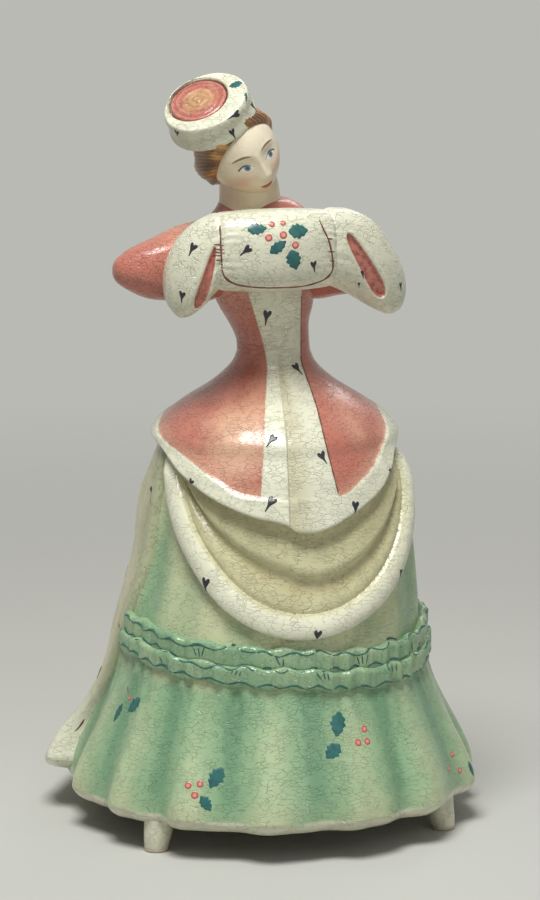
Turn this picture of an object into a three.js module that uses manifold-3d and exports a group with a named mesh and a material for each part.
// A glazed earthenware figurine: a lady in winter dress who holds a muff.
// Millimetres, +Z up, her front towards -Y, the origin on the table under her middle.
import * as THREE from "three";
import { mergeVertices } from "three/addons/utils/BufferGeometryUtils.js";
import Module from "manifold-3d";

const wasm = await Module();
wasm.setup();

const DEG = Math.PI / 180;
const TURN = Math.PI * 2;

// Heights below the waist are counted from the lowest edge of the skirt, the hem,
// and heights of the jacket's bodice, arms, muff, head and hat from the waist.
const FOOT_HEIGHT = 9; // hem above the table
const WAIST = 138; // above the hem
const WAIST_RADIUS = 11.3;
const WAIST_MIDDLE = 0.8; // the waist stands over towards the viewer's right
const JOINT = 0.3; // slip joint between neighbouring pieces
const WALL = 3; // cast wall of the skirt in the valley of a flute

// Skirt: radius at each height, from the hem to the top of the cast shell
const HEM_RADIUS = 65;
const SKIRT_TOP = WAIST - 24;
const SKIRT_ROOF = 5; // rise of the closed top over its edge
const HEADING_TOP = 53; // upper edge of the puffed heading, where the underskirt starts
const UNDERSKIRT = SKIRT_TOP - HEADING_TOP;
const SKIRT_PROFILE = [
  [0, HEM_RADIUS - 1.6],
  [1.6, HEM_RADIUS],
  [7, HEM_RADIUS - 0.8],
  [13, HEM_RADIUS - 3.6],
  [25, 55.4],
  [33, 51.8],
  [40, 49.2],
  [HEADING_TOP, 46.4],
  [HEADING_TOP + 0.18 * UNDERSKIRT, 44.3],
  [HEADING_TOP + 0.33 * UNDERSKIRT, 42.6],
  [HEADING_TOP + 0.61 * UNDERSKIRT, 39.9],
  [SKIRT_TOP - 13, 37.2],
  [SKIRT_TOP - 5, 33.6],
  [SKIRT_TOP, 30],
];
const SKIRT_LEAN = 2.4; // the hips stand over to the viewer's right
const LEAN_FROM = HEADING_TOP - 5; // height where the lean starts
const LEAN_FULL = HEADING_TOP + 0.44 * UNDERSKIRT;
const LEAN_BACK = 1.4; // of it, taken back again under the jacket

// Flutes of the flounce: bearings in degrees of the ridges in front, the rest evenly spaced
const FLUTE_RIDGES = [-61, -39, -15, 13, 38, 64];
const FLUTES = 15; // in all
const FLUTE_FACETS = 4; // from ridge to ridge
const FLUTE_RISE = 0.9; // of a ridge over the profile, at the hem
const FLUTE_DEPTH = 3.6; // from a ridge down into a valley
const PLEAT_DEPTH = 0.45; // soft folds of the underskirt, in line with the flutes

// Heading of the flounce: two puffed rows
const RUCHE_HEIGHT = 5.6; // one row
const RUCHE_BULGE = 4.2; // how far a row stands out from the skirt
const RUCHE_BASE = 41.8; // lower edge of the lower row
const RUCHE_STEP = RUCHE_HEIGHT + JOINT; // from the lower row up to the upper one
const RUCHE_WAVES = 24;
const RUCHE_WAVE = 0.55; // rise and fall of a row
const RUCHE_COURSE = [
  // bearing in degrees, and how far both rows are lifted there
  [-180, 3],
  [-82, 4.4],
  [-55, 2.4],
  [-28, 1],
  [0, 0],
  [25, -1.5],
  [50, -1.1],
  [66, 0.8],
  [95, 2.4],
  [180, 3],
];

// Apron swag: hangs in a curve over the front
const SWAG_CENTRE = -2.5; // degrees, the bearing of its lowest point
const SWAG_REACH = 77; // degrees from there to each corner
const SWAG_LOWEST = 56.1;
const SWAG_DEPTH = 52; // from its lowest point up to its corners
const SWAG_FULLNESS = 0.95; // 0.5 is round, 1 is a parabola
const SWAG_THICKNESS = 1.9;
const SWAG_ROLL = 2.6; // extra thickness of the rolled edge
const SWAG_ROLL_WIDTH = 8;
const SWAG_FOLD = 0.65; // depth of the draped folds
const SWAG_FOLD_PITCH = 11;
const SWAG_TUCK = 7; // how far it goes up under the jacket

// Back drape and train: height, and degrees from the front to its edge on each side.
// At the top its left edge meets the corner of the swag.
const TRAIN_LEFT_EDGE = [
  [0, 99],
  [18, 103],
  [40, 93],
  [55, 86],
  [75, SWAG_REACH - SWAG_CENTRE + 0.5],
  [SKIRT_TOP, SWAG_REACH - SWAG_CENTRE + 1.5],
];
const TRAIN_RIGHT_EDGE = [
  [0, 122],
  [40, 112],
  [75, 95],
  [SKIRT_TOP, 90],
];
const TRAIN_THICKNESS = 2.2;
const TRAIN_BOTTOM = 3; // above the hem
const TRAIN_FLARE = 4.4; // how far it kicks out beside the hem
const TRAIN_CORNER = 7; // how far its corners are rounded up
const TRAIN_SWEEP = 5; // how much further behind
const TRAIN_KICK = [38, 4]; // heights where the kick beside the hem starts and is full
const TRAIN_BUSTLE = 5; // fullness behind the hips
const TRAIN_BUSTLE_HEIGHT = SKIRT_TOP - 24;
const TRAIN_BUSTLE_SPREAD = 13;
const TRAIN_FOLDS = 5;
const TRAIN_FOLD = 0.9;
const TRAIN_FOLD_TOP = [SKIRT_TOP - 6, SKIRT_TOP - 22]; // where the folds fade in

// Jacket skirt: half its width at each height under the waist
const PEPLUM_PROFILE = [
  [-50, 46.8],
  [-34, 41.9],
  [-28, 38.9],
  [-24, 37.6],
  [-20.5, 34.6],
  [-17.5, 31],
  [-14, 25.9],
  [-10.3, 20],
  [-6.5, 15.4],
  [-3.5, 12.8],
  [0, WAIST_RADIUS],
];
const HIP_MIDDLE = 1; // the hips stand over a little further
const PEPLUM_DEPTH = 0.97; // front to back, of its width
const FRONT_EDGE = -9; // degrees, the overlapping front edge
const FRONT_STEP = 0.8; // its thickness
const PEPLUM_HEM = [
  // bearing in degrees, and how far the hem is from the waist there
  [-180, -26],
  [-100, -26],
  [-77, -28.2],
  [-57, -34],
  [-39, -40.1],
  [-23, -44.4],
  [FRONT_EDGE - 1.5, -46.6],
  [FRONT_EDGE + 2, -48.8],
  [0, -49.3],
  [7, -48.2],
  [13, -46.5],
  [34, -39.3],
  [44, -34.5],
  [56, -29.4],
  [75, -26.5],
  [180, -26],
];
const TRIM_RAISE = 0.45; // the fur trim stands out from the cloth
const TRIM_TOP = [
  // bearing in degrees, and how far the upper edge of the trim is from the waist there
  [-180, -19],
  [-110, -19.5],
  [-86, -23.6],
  [-57, -28.6],
  [-38, -34.1],
  [-26, -38.1],
  [14, -38.9],
  [25, -35.5],
  [40, -29.6],
  [57, -22.3],
  [75, -18],
  [110, -17],
  [180, -19],
];
const UNDERLAY = 3; // room under it for the swag and the back drape

// Jacket bodice: height, middle across, half width, front depth, back depth
const BODICE_SECTIONS = [
  [JOINT, WAIST_MIDDLE, WAIST_RADIUS, WAIST_RADIUS, WAIST_RADIUS],
  [4, 0.4, 11.4, 11.2, 11.1],
  [9, -0.8, 12.6, 11.8, 11.2],
  [15, -1.9, 15, 13.4, 12],
  [24, -3.6, 17.2, 15, 13],
  [33, -4, 17.6, 14.6, 13.4],
  [40, -3.6, 16.8, 12.6, 12.8],
  [44, -3.6, 13.8, 10.4, 10.8],
  [46.5, -4.8, 11, 9, 9.4],
];

// Sleeves: distance from her middle, height, forward, half height, half depth
const SHOULDER_MIDDLE = -4.6;
const SLEEVE_SECTIONS = [
  [9, 30, -0.5, 11.6, 10],
  [15, 29.2, -1, 12.8, 11],
  [21, 28, -1.5, 12.4, 11],
  [28, 27, -2, 10.9, 10],
  [35, 26.6, -2.4, 8.8, 8.6],
  [40.4, 26.5, -2.6, 6.6, 6.6],
  [44.2, 26.4, -2.6, 4, 4.2],
  [45.8, 26.4, -2.6, 1.5, 1.6],
];

// Muff: distance along it, forward, height, half height, half depth
const MUFF_MIDDLE = -4.6;
const MUFF_SECTIONS = [
  [-17.6, -19, 33.4, 11, 8.8],
  [-15.6, -19.4, 33.5, 11.7, 9.3],
  [-8, -20.6, 33.6, 12.3, 10],
  [0, -21, 33.6, 12.5, 10.2],
  [8, -20.6, 33.6, 12.3, 10],
  [15.6, -19.4, 33.5, 11.7, 9.3],
  [17.6, -19, 33.4, 11, 8.8],
];
const MUFF_RIGHT_SECTIONS = [
  [15.6, -18.6, 33.6, 10.9, 8.4],
  [18.2, -18.6, 33.6, 12, 8.6],
  [24, -17.6, 32, 13, 8.4],
  [31, -16.4, 28.4, 13.6, 8.2],
  [36.6, -14.8, 24.2, 12, 7.2],
  [41, -13.2, 21, 8.6, 5.4],
  [43.6, -12.4, 19.8, 4, 2.8],
];
const MUFF_LEFT_SECTIONS = [
  [-15.6, -18.6, 33.4, 10.9, 8.4],
  [-18.2, -18.6, 33, 12, 8.6],
  [-23, -17.2, 29.2, 13.4, 8],
  [-27.6, -15.4, 25.8, 12.6, 7.2],
  [-30.6, -13.6, 24.2, 8.4, 5.4],
  [-32.2, -12.6, 23.8, 3.6, 2.6],
];
const SLIT_RIGHT = [[17, -25, 38.5], [29.6, -22.2, 18.5]]; // narrow top and wide foot
const SLIT_LEFT = [[-24.6, -25, 35], [-28.6, -20.6, 17]];
const SLIT_DEPTH = 2.6;
const SLIT_HALF_WIDTH = 2.2;

// Neck: height, across, forward, radius
const NECK_SECTIONS = [
  [39, -6.6, 0.4, 9.6],
  [46, -6.8, -0.4, 9.8],
  [49, -7, -0.8, 9.6],
  [53, -7.6, -1.8, 9.2],
  [58, -9, -3.2, 8.6],
  [63, -10.4, -4, 8],
];

// Head: its centre, where it looks, and its half sizes
const HEAD_CENTRE = new THREE.Vector3(-10.9, -5.3, 61.8);
const HEAD_TURN = 27; // degrees to her left, the viewer's right
const HEAD_NOD = 10; // degrees down
const HEAD_LEAN = -28; // degrees, crown towards the viewer's left
const HEAD_HALF_WIDTH = 11.4;
const HEAD_HALF_LENGTH = 12.7;
const HEAD_TOP = 13.4;
const HEAD_CHIN = 13.6;
const NOSE_LENGTH = 1.7;
const HAIR_THICKNESS = 2.1;
const HAIRLINE_TILT = 50; // degrees from upright, the line from brow to nape
const HAIRLINE_AHEAD = -0.8; // of the middle of the head
const HAIR_WAVES = 11;
const HAIR_WAVE = 0.55;

// Hat: the middle of its top and the way that it points
const HAT_TOP = new THREE.Vector3(-22.9, -8.3, 77.9);
const HAT_AXIS = new THREE.Vector3(-0.43, -0.427, 0.794).normalize();
const HAT_RADIUS = 13.5;
const HAT_HEIGHT = 8.6;
const HAT_BASE_RADIUS = 13.9;
const CROWN_HALF_WIDTH = 8.8;
const CROWN_HALF_LENGTH = 9.4;
const CROWN_ASIDE = 1.2; // it lies off the middle of the top, to the viewer's left
const CROWN_BACK = 2.9; // and towards the back
const CROWN_SINK = 1.2; // depth of the recess that the crown lies in
const CROWN_THICKNESS = 1.4;

// Peg feet
const FOOT_CIRCLE = HEM_RADIUS - 7;
const FOOT_TIP_RADIUS = 3.6;
const FOOT_TOP_RADIUS = 5.4;
const FOOT_SEAT = 4; // how far a foot reaches up inside the wall
const FOOT_ANGLES = { foot_left: -52, foot_right: 52, foot_back: 180 };

// Value at one place of a smooth curve through rows of [place, value, ...]
function along(rows, at, column = 1) {
  const last = rows.length - 1;
  const place = Math.min(Math.max(at, rows[0][0]), rows[last][0]);
  let i = 0;
  while (i < last - 1 && place > rows[i + 1][0]) {
    i += 1;
  }
  const slope = (k) => {
    const before = rows[Math.max(k - 1, 0)];
    const after = rows[Math.min(k + 1, last)];
    return (after[column] - before[column]) / (after[0] - before[0]);
  };
  const step = rows[i + 1][0] - rows[i][0];
  const t = (place - rows[i][0]) / step;
  const rise = rows[i + 1][column] - rows[i][column];
  const a = slope(i) * step - rise;
  const b = -slope(i + 1) * step + rise;
  return rows[i][column] + t * rise + t * (1 - t) * (a * (1 - t) + b * t);
}

function smoothstep(low, high, value) {
  const t = Math.min(Math.max((value - low) / (high - low), 0), 1);
  return t * t * (3 - 2 * t);
}

function wrapped(bearing) {
  return ((((bearing / DEG + 180) % 360) + 360) % 360) - 180;
}

// Point at a bearing round the skirt's axis, 0 in front and positive to the viewer's right
function polar(bearing, radius, height) {
  return new THREE.Vector3(radius * Math.sin(bearing), -radius * Math.cos(bearing), height);
}

// Turns rows of points into a closed solid; every row has the same number of points
function closedMesh(positions, indices) {
  const geometry = new THREE.BufferGeometry();
  geometry.setAttribute("position", new THREE.Float32BufferAttribute(positions, 3));
  geometry.setIndex(indices);
  const merged = mergeVertices(geometry, 1e-4);
  const solid = new wasm.Manifold(
    new wasm.Mesh({
      numProp: 3,
      vertProperties: new Float32Array(merged.attributes.position.array),
      triVerts: new Uint32Array(merged.index.array),
    }),
  );
  return solid;
}

function windOutward(positions, indices) {
  const at = (i) => new THREE.Vector3().fromArray(positions, indices[i] * 3);
  let volume = 0;
  for (let i = 0; i < indices.length; i += 3) {
    volume += at(i).dot(at(i + 1).cross(at(i + 2)));
  }
  return volume < 0 ? indices.slice().reverse() : indices;
}

// Solid between rings of points, its two ends closed to their middles
function loft(rings) {
  const sides = rings[0].length;
  const positions = [];
  const indices = [];
  for (const ring of rings) {
    for (const point of ring) {
      positions.push(point.x, point.y, point.z);
    }
  }
  for (let i = 0; i < rings.length - 1; i += 1) {
    for (let j = 0; j < sides; j += 1) {
      const a = i * sides + j;
      const b = i * sides + ((j + 1) % sides);
      indices.push(a, b, b + sides, a, b + sides, a + sides);
    }
  }
  for (const end of [0, rings.length - 1]) {
    const middle = new THREE.Vector3();
    for (const point of rings[end]) {
      middle.addScaledVector(point, 1 / sides);
    }
    const centre = positions.length / 3;
    positions.push(middle.x, middle.y, middle.z);
    for (let j = 0; j < sides; j += 1) {
      const a = end * sides + j;
      const b = end * sides + ((j + 1) % sides);
      if (end === 0) {
        indices.push(b, a, centre);
      } else {
        indices.push(a, b, centre);
      }
    }
  }
  return closedMesh(positions, windOutward(positions, indices));
}

// Solid between an outer and an inner sheet over the same grid, closed along its edges
function slab(columns, rows, outer, inner) {
  const positions = [];
  const indices = [];
  const width = columns + 1;
  for (const sheet of [outer, inner]) {
    for (let i = 0; i <= rows; i += 1) {
      for (let j = 0; j <= columns; j += 1) {
        const point = sheet(j / columns, i / rows);
        positions.push(point.x, point.y, point.z);
      }
    }
  }
  const back = width * (rows + 1);
  for (let i = 0; i < rows; i += 1) {
    for (let j = 0; j < columns; j += 1) {
      const a = i * width + j;
      const b = a + 1;
      const c = b + width;
      const d = a + width;
      indices.push(a, b, c, a, c, d);
      indices.push(back + a, back + c, back + b, back + a, back + d, back + c);
    }
  }
  const rim = [];
  for (let j = 0; j < columns; j += 1) {
    rim.push(j);
  }
  for (let i = 0; i < rows; i += 1) {
    rim.push(i * width + columns);
  }
  for (let j = columns; j > 0; j -= 1) {
    rim.push(rows * width + j);
  }
  for (let i = rows; i > 0; i -= 1) {
    rim.push(i * width);
  }
  rim.forEach((a, k) => {
    const b = rim[(k + 1) % rim.length];
    indices.push(b, a, back + a, b, back + a, back + b);
  });
  return closedMesh(positions, windOutward(positions, indices));
}

// Oval ring around a middle, spanned by two directions
function ovalRing(middle, across, up, halfWidth, halfHeight, sides, squareness = 2) {
  const ring = [];
  for (let j = 0; j < sides; j += 1) {
    const angle = (TURN * j) / sides;
    const c = Math.cos(angle);
    const s = Math.sin(angle);
    const x = Math.sign(c) * Math.abs(c) ** (2 / squareness) * halfWidth;
    const y = Math.sign(s) * Math.abs(s) ** (2 / squareness) * halfHeight;
    ring.push(middle.clone().addScaledVector(across, x).addScaledVector(up, y));
  }
  return ring;
}

// Largest body of a solid, without the slivers that a cut can leave
function largest(solid) {
  const bodies = solid.decompose();
  bodies.sort((a, b) => b.volume() - a.volume());
  return bodies[0];
}

function cutAway(solid, ...others) {
  return largest(others.reduce((rest, other) => rest.subtract(other), solid));
}

// Skirt: its upper part leans over, and all that lies on it leans with it
function onSkirt(bearing, radius, height) {
  const point = polar(bearing, radius, height);
  point.x += SKIRT_LEAN * smoothstep(LEAN_FROM, LEAN_FULL, height);
  point.x -= LEAN_BACK * smoothstep(SKIRT_TOP - 16, SKIRT_TOP - 4, height);
  return point;
}

// Bearing of a place counted in flutes, from the first ridge round to itself again
const FLUTE_ROWS = FLUTE_RIDGES.map((degrees, i) => [i, degrees]);
FLUTE_ROWS.push([FLUTES, FLUTE_RIDGES[0] + 360]);

function skirtRadius(flute, height) {
  const wave = Math.cos(TURN * flute);
  const flounce = smoothstep(RUCHE_BASE, 2, height);
  const above = smoothstep(RUCHE_BASE + 10, RUCHE_BASE + 22, height);
  const flutes = flounce * (FLUTE_RISE - FLUTE_DEPTH * ((1 - wave) / 2) ** 1.4);
  return along(SKIRT_PROFILE, height) + flutes + PLEAT_DEPTH * above * wave;
}

function skirtRing(height, grow) {
  const ring = [];
  for (let j = 0; j < FLUTES * FLUTE_FACETS; j += 1) {
    const flute = j / FLUTE_FACETS;
    const bearing = along(FLUTE_ROWS, flute) * DEG;
    ring.push(onSkirt(bearing, skirtRadius(flute, height) + grow, height));
  }
  return ring;
}

const SKIRT_LEVELS = SKIRT_PROFILE.map(([height]) => height);

function skirtSolid(grow) {
  const rings = SKIRT_LEVELS.map((height) => skirtRing(height, grow));
  const foot = rings[0].map((point) => point.clone().setZ(-grow));
  const roof = skirtRing(SKIRT_TOP, grow).map((point) =>
    point.clone().multiply(new THREE.Vector3(0.5, 0.5, 1)).setZ(SKIRT_TOP + SKIRT_ROOF + grow),
  );
  return loft([foot, ...rings, roof]);
}

// The hollow is plain inside, so the wall is thickest behind the ridges
function skirtHollow(inset) {
  const followed = SKIRT_LEVELS.slice(2, -1).filter((_, i) => i % 2 === 0);
  const rings = [];
  for (const height of [-WALL, ...followed, SKIRT_TOP - WALL]) {
    const profile = along(SKIRT_PROFILE, Math.max(height, followed[0]));
    const radius = profile + FLUTE_RISE - FLUTE_DEPTH - WALL - inset;
    const ring = [];
    for (let j = 0; j < 36; j += 1) {
      ring.push(onSkirt((TURN * j) / 36, radius, height));
    }
    rings.push(ring);
  }
  return loft(rings);
}

function skirtShell() {
  return skirtSolid(0).subtract(skirtHollow(0));
}

// Heading of the flounce
function rucheRow(level) {
  const rings = [];
  const steps = 4 * RUCHE_WAVES;
  for (let j = 0; j < steps; j += 1) {
    const bearing = (TURN * j) / steps;
    const course = along(RUCHE_COURSE, wrapped(bearing));
    const lift = course + RUCHE_WAVE * Math.sin(RUCHE_WAVES * bearing);
    const radius = along(SKIRT_PROFILE, level + course);
    const puff = 1 + 0.14 * Math.cos(2 * RUCHE_WAVES * bearing);
    const ring = [];
    for (let k = 0; k < 6; k += 1) {
      const angle = (TURN * k) / 6;
      const height = level + lift + (RUCHE_HEIGHT / 2) * Math.sin(angle);
      const out = (RUCHE_BULGE / 2) * puff * (1 + Math.cos(angle)) - 1.5;
      ring.push(onSkirt(bearing, radius + out, height));
    }
    rings.push(ring);
  }
  return loopLoft(rings);
}

// Solid swept round in a closed loop of rings
function loopLoft(rings) {
  const sides = rings[0].length;
  const count = rings.length;
  const positions = [];
  const indices = [];
  for (const ring of rings) {
    for (const point of ring) {
      positions.push(point.x, point.y, point.z);
    }
  }
  for (let i = 0; i < count; i += 1) {
    for (let j = 0; j < sides; j += 1) {
      const next = (j + 1) % sides;
      const a = i * sides + j;
      const b = i * sides + next;
      const c = ((i + 1) % count) * sides + next;
      const d = ((i + 1) % count) * sides + j;
      indices.push(a, b, c, a, c, d);
    }
  }
  return closedMesh(positions, windOutward(positions, indices));
}

// Apron swag
function peplumHem(bearing) {
  return WAIST + along(PEPLUM_HEM, wrapped(bearing));
}

function swagEdge(bearing) {
  const share = Math.min(Math.abs(bearing / DEG - SWAG_CENTRE) / SWAG_REACH, 1);
  return SWAG_LOWEST + SWAG_DEPTH * (1 - (1 - share * share) ** SWAG_FULLNESS);
}

// Height that the roll takes up: more where its edge is steep
function swagRollHeight(bearing) {
  const rise = (swagEdge(bearing + DEG) - swagEdge(bearing - DEG)) / 2;
  const slope = rise / (along(SKIRT_PROFILE, swagEdge(bearing)) * DEG);
  return SWAG_ROLL_WIDTH * Math.hypot(1, Math.min(Math.abs(slope), 1.4));
}

function swagThickness(bearing, height) {
  const up = (height - swagEdge(bearing)) / swagRollHeight(bearing);
  const across = Math.min(Math.max(up, 0), 1);
  const under = peplumHem(bearing);
  const shown = smoothstep(under + 1, under - 7, height);
  const roll = SWAG_ROLL * shown * Math.sqrt(Math.max(4 * across * (1 - across), 0));
  const folds = SWAG_FOLD * smoothstep(0.8, 1.6, up) * shown;
  const turns = (up * SWAG_ROLL_WIDTH) / SWAG_FOLD_PITCH;
  return SWAG_THICKNESS + roll + folds * Math.cos(TURN * turns);
}

function apronSwag(grow) {
  const place = (u, v, thickness) => {
    const bearing = SWAG_CENTRE * DEG + (2 * u - 1) * (SWAG_REACH * DEG + grow / 40);
    const low = swagEdge(bearing) - grow;
    const high = Math.min(peplumHem(bearing) + SWAG_TUCK, SKIRT_TOP - 1);
    const height = low + (high - low) * v;
    return onSkirt(bearing, along(SKIRT_PROFILE, height) + thickness(bearing, height), height);
  };
  const outer = (u, v) => place(u, v, (b, h) => swagThickness(b, h) + grow);
  const inner = (u, v) => place(u, v, () => -1.5);
  return slab(28, 14, outer, inner);
}

// Back drape and train
function trainRadius(bearing, height) {
  const behind = 0.5 - 0.5 * Math.cos(bearing);
  const kick = smoothstep(...TRAIN_KICK, height) ** 1.5;
  const fromBustle = (height - TRAIN_BUSTLE_HEIGHT) / TRAIN_BUSTLE_SPREAD;
  const bustle = Math.exp(-(fromBustle ** 2)) * smoothstep(0.55, 1, behind);
  const below = smoothstep(...TRAIN_FOLD_TOP, height) * smoothstep(0.5, 0.7, behind);
  const folds = TRAIN_FOLD * Math.cos(2 * TRAIN_FOLDS * bearing) * below;
  const flare = TRAIN_FLARE + TRAIN_SWEEP * smoothstep(0.6, 1, behind);
  return (
    along(SKIRT_PROFILE, height) + TRAIN_THICKNESS + flare * kick + TRAIN_BUSTLE * bustle + folds
  );
}

function trainDrape(grow) {
  const place = (u, v, radius) => {
    const corner = TRAIN_CORNER * (1 - Math.sqrt(Math.min(10 * Math.min(u, 1 - u), 1)));
    const low = TRAIN_BOTTOM - grow + corner;
    const height = low + (SKIRT_TOP - 1 - low) * v;
    const right = along(TRAIN_RIGHT_EDGE, height) * DEG - grow / 45;
    const left = TURN - along(TRAIN_LEFT_EDGE, height) * DEG + grow / 45;
    const bearing = right + (left - right) * u;
    return onSkirt(bearing, radius(bearing, height), height);
  };
  const outer = (u, v) => place(u, v, (b, h) => trainRadius(b, h) + grow);
  const inner = (u, v) => place(u, v, (b, h) => along(SKIRT_PROFILE, h) - 2.5);
  return slab(30, 10, outer, inner);
}

// Jacket skirt
function peplumRadius(bearing, height) {
  const width = along(PEPLUM_PROFILE, height - WAIST);
  const depth = width * PEPLUM_DEPTH;
  const oval = (width * depth) / Math.hypot(depth * Math.sin(bearing), width * Math.cos(bearing));
  const degrees = bearing / DEG;
  const inFront = smoothstep(FRONT_EDGE + 0.6, FRONT_EDGE - 0.6, degrees);
  const lapped = inFront * smoothstep(FRONT_EDGE - 60, FRONT_EDGE - 30, degrees);
  return oval + FRONT_STEP * lapped * smoothstep(WAIST - 4, WAIST - 16, height);
}

function hipShift(height) {
  return HIP_MIDDLE + (WAIST_MIDDLE - HIP_MIDDLE) * smoothstep(WAIST - 12, WAIST, height);
}

function peplumBearings() {
  const bearings = [];
  for (let j = 0; j < 48; j += 1) {
    bearings.push(-180 + (360 * j) / 48);
  }
  const kept = bearings.filter((b) => Math.abs(b - FRONT_EDGE) > 1.6);
  kept.push(FRONT_EDGE - 0.7, FRONT_EDGE + 0.7);
  kept.sort((a, b) => a - b);
  return kept.map((b) => b * DEG);
}

function jacketPeplum() {
  const bearings = peplumBearings();
  const rows = 7; // above the trim
  const onHips = (place) =>
    bearings.map((bearing) => {
      const top = WAIST + along(TRIM_TOP, wrapped(bearing));
      const { height, raise } = place(peplumHem(bearing), top);
      const point = polar(bearing, peplumRadius(bearing, height) + raise, height);
      point.x += hipShift(height);
      return point;
    });
  const rings = [
    onHips((low) => ({ height: low, raise: 0 })),
    onHips((low) => ({ height: low + 1, raise: TRIM_RAISE })),
    onHips((low, top) => ({ height: top - 0.3, raise: TRIM_RAISE })),
  ];
  for (let i = 0; i <= rows; i += 1) {
    const v = i / rows;
    rings.push(onHips((low, top) => ({ height: top + (WAIST - top) * v, raise: 0 })));
  }
  const underside = rings[0].map((point) => {
    const inward = 1 - 9 / Math.hypot(point.x, point.y);
    return new THREE.Vector3(point.x * inward, point.y * inward, point.z + 0.4);
  });
  return loft([underside, ...rings]);
}

// What the jacket's skirt is moulded over: the skirt with the swag and drape on it
function jacketFormer() {
  const rings = [];
  const levels = [34, 24, 13, 5, 0, -UNDERLAY].map((under) => SKIRT_TOP - under);
  for (const height of levels) {
    const radius = along(SKIRT_PROFILE, height) + UNDERLAY - Math.max(height - SKIRT_TOP, 0);
    const ring = [];
    for (let j = 0; j < 40; j += 1) {
      ring.push(onSkirt((TURN * j) / 40, radius, height));
    }
    rings.push(ring);
  }
  rings.push(rings[0].map((p) => new THREE.Vector3(p.x / 3, p.y / 3, SKIRT_TOP + SKIRT_ROOF + 1)));
  return loft(rings);
}

// Jacket bodice
function bodice(grow) {
  const rings = BODICE_SECTIONS.map(([height, middle, width, front, back], i) => {
    const ring = [];
    for (let j = 0; j < 28; j += 1) {
      const angle = (TURN * j) / 28;
      const depth = Math.cos(angle) > 0 ? front : back;
      const x = middle + (width + grow) * Math.sin(angle);
      const y = -(depth + grow) * Math.cos(angle);
      ring.push(new THREE.Vector3(x, y, i === 0 ? height - grow : height));
    }
    return ring;
  });
  const top = rings[rings.length - 1];
  rings.push(top.map((point) => point.clone().setZ(point.z + grow + 0.01)));
  return loft(rings);
}

// Sleeves, side -1 on the viewer's left and 1 on the right
function sleeve(side, grow) {
  const forward = new THREE.Vector3(0, -1, 0);
  const up = new THREE.Vector3(0, 0, 1);
  const rings = SLEEVE_SECTIONS.map(([out, height, y, tall, deep]) => {
    const middle = new THREE.Vector3(SHOULDER_MIDDLE + side * out, y, height);
    return ovalRing(middle, forward, up, deep + grow, tall + grow, 20);
  });
  return loft(rings);
}

// Muff and its flared ends
function muffPiece(sections, grow, squareness) {
  const forward = new THREE.Vector3(0, -1, 0);
  const up = new THREE.Vector3(0, 0, 1);
  const rings = sections.map(([out, y, height, tall, deep]) => {
    const middle = new THREE.Vector3(MUFF_MIDDLE + out, y, height);
    return ovalRing(middle, forward, up, deep + grow, tall + grow, 24, squareness);
  });
  return loft(rings);
}

// Long drop-shaped cutter for a slit, from its narrow top to its wide foot
function slitCutter([top, foot], widthTop, widthFoot) {
  const from = new THREE.Vector3(...top);
  const line = new THREE.Vector3(...foot).sub(from);
  const reach = line.length();
  const down = line.clone().normalize();
  const inward = new THREE.Vector3(0, 1, 0);
  const across = new THREE.Vector3().crossVectors(down, inward).normalize();
  const normal = new THREE.Vector3().crossVectors(across, down).normalize();
  const rings = [];
  for (let i = 0; i <= 8; i += 1) {
    const t = i / 8;
    const round = Math.sqrt(Math.max(1 - (2 * t - 1) ** 4, 0.02));
    const width = (widthTop + (widthFoot - widthTop) * t) * round;
    const middle = from.clone().addScaledVector(down, reach * t);
    rings.push(ovalRing(middle, across, normal, width, SLIT_DEPTH * round, 12));
  }
  return loft(rings);
}

// Head, as an egg that narrows to the chin, in its own directions
const headForward = polar(HEAD_TURN * DEG, Math.cos(HEAD_NOD * DEG), -Math.sin(HEAD_NOD * DEG));
const headSide = polar((HEAD_TURN + 90) * DEG, 1, 0);
headSide.applyAxisAngle(headForward, -HEAD_LEAN * DEG);
const headUp = new THREE.Vector3().crossVectors(headForward, headSide).negate();
if (headUp.z < 0) {
  headUp.negate();
}

function headPoint(latitude, longitude, grow) {
  const rise = Math.sin(latitude);
  const level = Math.cos(latitude);
  const low = Math.max(-rise, 0);
  const front = Math.max(Math.cos(longitude), 0);
  const narrow = 1 - 0.3 * low ** 1.5;
  const jaw = 1 - 0.12 * low * (1 - front);
  const nose = NOSE_LENGTH * Math.exp(-(((longitude / DEG) / 9) ** 2) - ((latitude / DEG + 14) / 11) ** 2);
  const side = (HEAD_HALF_WIDTH + grow) * level * narrow * Math.sin(longitude);
  const ahead = (HEAD_HALF_LENGTH + grow + nose) * level * jaw * Math.cos(longitude) + 1.6 * low;
  const up = ((rise > 0 ? HEAD_TOP : HEAD_CHIN) + grow) * rise;
  return HEAD_CENTRE.clone()
    .addScaledVector(headSide, side)
    .addScaledVector(headForward, ahead)
    .addScaledVector(headUp, up);
}

function eggSolid(grow, wave) {
  const rings = [];
  const rows = 14;
  for (let i = 1; i < rows; i += 1) {
    const latitude = -Math.PI / 2 + (Math.PI * i) / rows;
    const ring = [];
    for (let j = 0; j < 33; j += 1) {
      const longitude = (TURN * j) / 33;
      ring.push(headPoint(latitude, longitude, grow + wave * Math.cos(HAIR_WAVES * longitude)));
    }
    rings.push(ring);
  }
  return loft(rings);
}

function neck(grow) {
  const across = new THREE.Vector3(1, 0, 0);
  const forward = new THREE.Vector3(0, -1, 0);
  const rings = NECK_SECTIONS.map(([height, x, y, radius], i) => {
    const z = i === 0 ? height - grow : height;
    return ovalRing(new THREE.Vector3(x, y, z), across, forward, radius + grow, radius + grow, 24);
  });
  return loft(rings);
}

function headAndNeck(grow) {
  return eggSolid(grow, 0).add(neck(grow));
}

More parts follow.
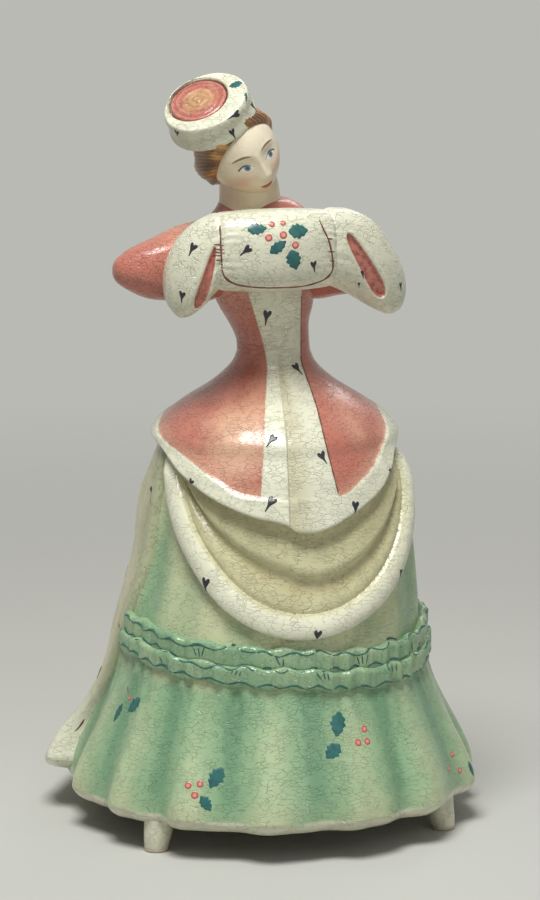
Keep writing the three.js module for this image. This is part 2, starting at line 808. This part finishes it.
// Hair: a waved shell over the head, trimmed along a line from the brow to the nape
function hairShell() {
  const shell = eggSolid(HAIR_THICKNESS, HAIR_WAVE);
  const tilt = HAIRLINE_TILT * DEG;
  const ahead = headForward.clone().multiplyScalar(Math.sin(tilt));
  const off = ahead.addScaledVector(headUp, -Math.cos(tilt)).negate();
  const through = HEAD_CENTRE.clone().addScaledVector(headForward, HAIRLINE_AHEAD);
  return shell.trimByPlane(off.toArray(), off.dot(through));
}

// Hat
const hatAcross = new THREE.Vector3().crossVectors(HAT_AXIS, new THREE.Vector3(0, 1, 0)).normalize();
const hatOnward = new THREE.Vector3().crossVectors(HAT_AXIS, hatAcross).normalize();

function hatRings(levels) {
  return levels.map(([down, radius]) => {
    const middle = HAT_TOP.clone().addScaledVector(HAT_AXIS, -down);
    return ovalRing(middle, hatAcross, hatOnward, radius, radius, 32);
  });
}

function hatBand(grow) {
  const rings = hatRings([
    [-grow, HAT_RADIUS - 0.9],
    [0.4, HAT_RADIUS - 0.3 + grow],
    [1.4, HAT_RADIUS + grow],
    [HAT_HEIGHT / 2, HAT_RADIUS - 0.2 + grow],
    [HAT_HEIGHT - 0.8, HAT_BASE_RADIUS + grow],
    [HAT_HEIGHT + grow, HAT_BASE_RADIUS - 0.8 + grow],
  ]);
  return loft(rings);
}

// The crown and the recess that it lies in are ovals round the same middle
function crownRings(levels) {
  return levels.map(([down, grow]) => {
    const middle = HAT_TOP.clone()
      .addScaledVector(HAT_AXIS, -down)
      .addScaledVector(hatAcross, CROWN_ASIDE)
      .addScaledVector(hatOnward, -CROWN_BACK);
    const halfWidth = CROWN_HALF_WIDTH + grow;
    const halfLength = CROWN_HALF_LENGTH + grow;
    return ovalRing(middle, hatAcross, hatOnward, halfWidth, halfLength, 32);
  });
}

function hatRecess() {
  const floor = CROWN_SINK + CROWN_THICKNESS + JOINT;
  return loft(crownRings([[-1, JOINT], [floor, JOINT]]));
}

function hatCrown() {
  return loft(
    crownRings([
      [CROWN_SINK, -0.8],
      [CROWN_SINK + 0.3, 0],
      [CROWN_SINK + CROWN_THICKNESS, 0],
    ]),
  );
}

// Peg foot under the wall of the skirt
function pegFoot(angle) {
  const across = new THREE.Vector3(1, 0, 0);
  const forward = new THREE.Vector3(0, -1, 0);
  const middle = (height) => polar(angle * DEG, FOOT_CIRCLE, height);
  return loft([
    ovalRing(middle(-FOOT_HEIGHT), across, forward, FOOT_TIP_RADIUS, FOOT_TIP_RADIUS, 20),
    ovalRing(middle(0), across, forward, FOOT_TOP_RADIUS, FOOT_TOP_RADIUS, 20),
    ovalRing(middle(FOOT_SEAT), across, forward, FOOT_TOP_RADIUS, FOOT_TOP_RADIUS, 20),
  ]);
}

const GLAZE_COLOURS = {
  mint: "#9fd0ae",
  cream: "#e9e4c9",
  white: "#efeeea",
  rose: "#cf6f66",
  flesh: "#ecdccb",
  hair: "#8a4a22",
};

function glaze(name) {
  return new THREE.MeshStandardMaterial({
    color: GLAZE_COLOURS[name],
    roughness: 0.18,
    metalness: 0,
  });
}

function named(name, solid, colour, lift = FOOT_HEIGHT) {
  const data = solid.getMesh();
  const geometry = new THREE.BufferGeometry();
  geometry.setAttribute("position", new THREE.Float32BufferAttribute(data.vertProperties, 3));
  geometry.setIndex(new THREE.Uint32BufferAttribute(data.triVerts, 1));
  geometry.computeVertexNormals();
  const mesh = new THREE.Mesh(geometry, glaze(colour));
  mesh.name = name;
  mesh.position.z = lift;
  return mesh;
}

const figurine = new THREE.Group();
figurine.name = "figurine";

const skirt = skirtShell();
const skirtClear = skirtSolid(JOINT);
const swag = cutAway(apronSwag(0), skirtClear);
const train = cutAway(trainDrape(0), skirtClear, apronSwag(JOINT));
const lowerRow = RUCHE_BASE + RUCHE_HEIGHT / 2;
const upperRow = lowerRow + RUCHE_STEP;
const rucheLower = cutAway(rucheRow(lowerRow), skirtClear, trainDrape(JOINT));
const rucheUpper = cutAway(rucheRow(upperRow), skirtClear, trainDrape(JOINT));
const peplum = cutAway(jacketPeplum(), jacketFormer());

const head = headAndNeck(0);
const headClear = headAndNeck(JOINT);
const bodiceSolid = cutAway(bodice(0), headClear);
const bodiceClear = bodice(JOINT);
const muffClear = muffPiece(MUFF_SECTIONS, JOINT, 2.6);
const muff = cutAway(muffPiece(MUFF_SECTIONS, 0, 2.6), bodiceClear, headClear);

function dressedSleeve(side) {
  return cutAway(sleeve(side, 0), bodiceClear, headClear, muffClear);
}

function muffEnd(sections, side, slit) {
  const plain = muffPiece(sections, 0, 2.2);
  return cutAway(plain, muffClear, bodiceClear, sleeve(side, JOINT), headClear, slit);
}

const slitRight = slitCutter(SLIT_RIGHT, SLIT_HALF_WIDTH * 0.75, SLIT_HALF_WIDTH * 1.25);
const slitLeft = slitCutter(SLIT_LEFT, SLIT_HALF_WIDTH * 0.35, SLIT_HALF_WIDTH);

const hair = cutAway(hairShell(), headClear, hatBand(JOINT));
const band = cutAway(hatBand(0), headClear, hatRecess());

const SHOULDERS = FOOT_HEIGHT + WAIST; // what the upper pieces are counted from

figurine.add(
  named("skirt_shell", skirt, "mint"),
  named("ruche_lower", rucheLower, "mint"),
  named("ruche_upper", rucheUpper, "cream"),
  named("apron_swag", swag, "cream"),
  named("train_drape", train, "cream"),
  named("jacket_peplum", peplum, "rose"),
  named("jacket_bodice", bodiceSolid, "rose", SHOULDERS),
  named("sleeve_left", dressedSleeve(-1), "rose", SHOULDERS),
  named("sleeve_right", dressedSleeve(1), "rose", SHOULDERS),
  named("muff_body", muff, "white", SHOULDERS),
  named("muff_end_left", muffEnd(MUFF_LEFT_SECTIONS, -1, slitLeft), "white", SHOULDERS),
  named("muff_end_right", muffEnd(MUFF_RIGHT_SECTIONS, 1, slitRight), "white", SHOULDERS),
  named("head_and_neck", head, "flesh", SHOULDERS),
  named("hair", hair, "hair", SHOULDERS),
  named("hat_band", band, "white", SHOULDERS),
  named("hat_crown", hatCrown(), "rose", SHOULDERS),
);
const wallClear = skirtSolid(JOINT).subtract(skirtHollow(JOINT));
for (const [name, angle] of Object.entries(FOOT_ANGLES)) {
  figurine.add(named(name, cutAway(pegFoot(angle), wallClear), "white"));
}

// The origin goes under the middle of the whole
const middle = new THREE.Box3().setFromObject(figurine, true).getCenter(new THREE.Vector3());
for (const piece of figurine.children) {
  piece.position.x -= middle.x;
  piece.position.y -= middle.y;
}

export default figurine;
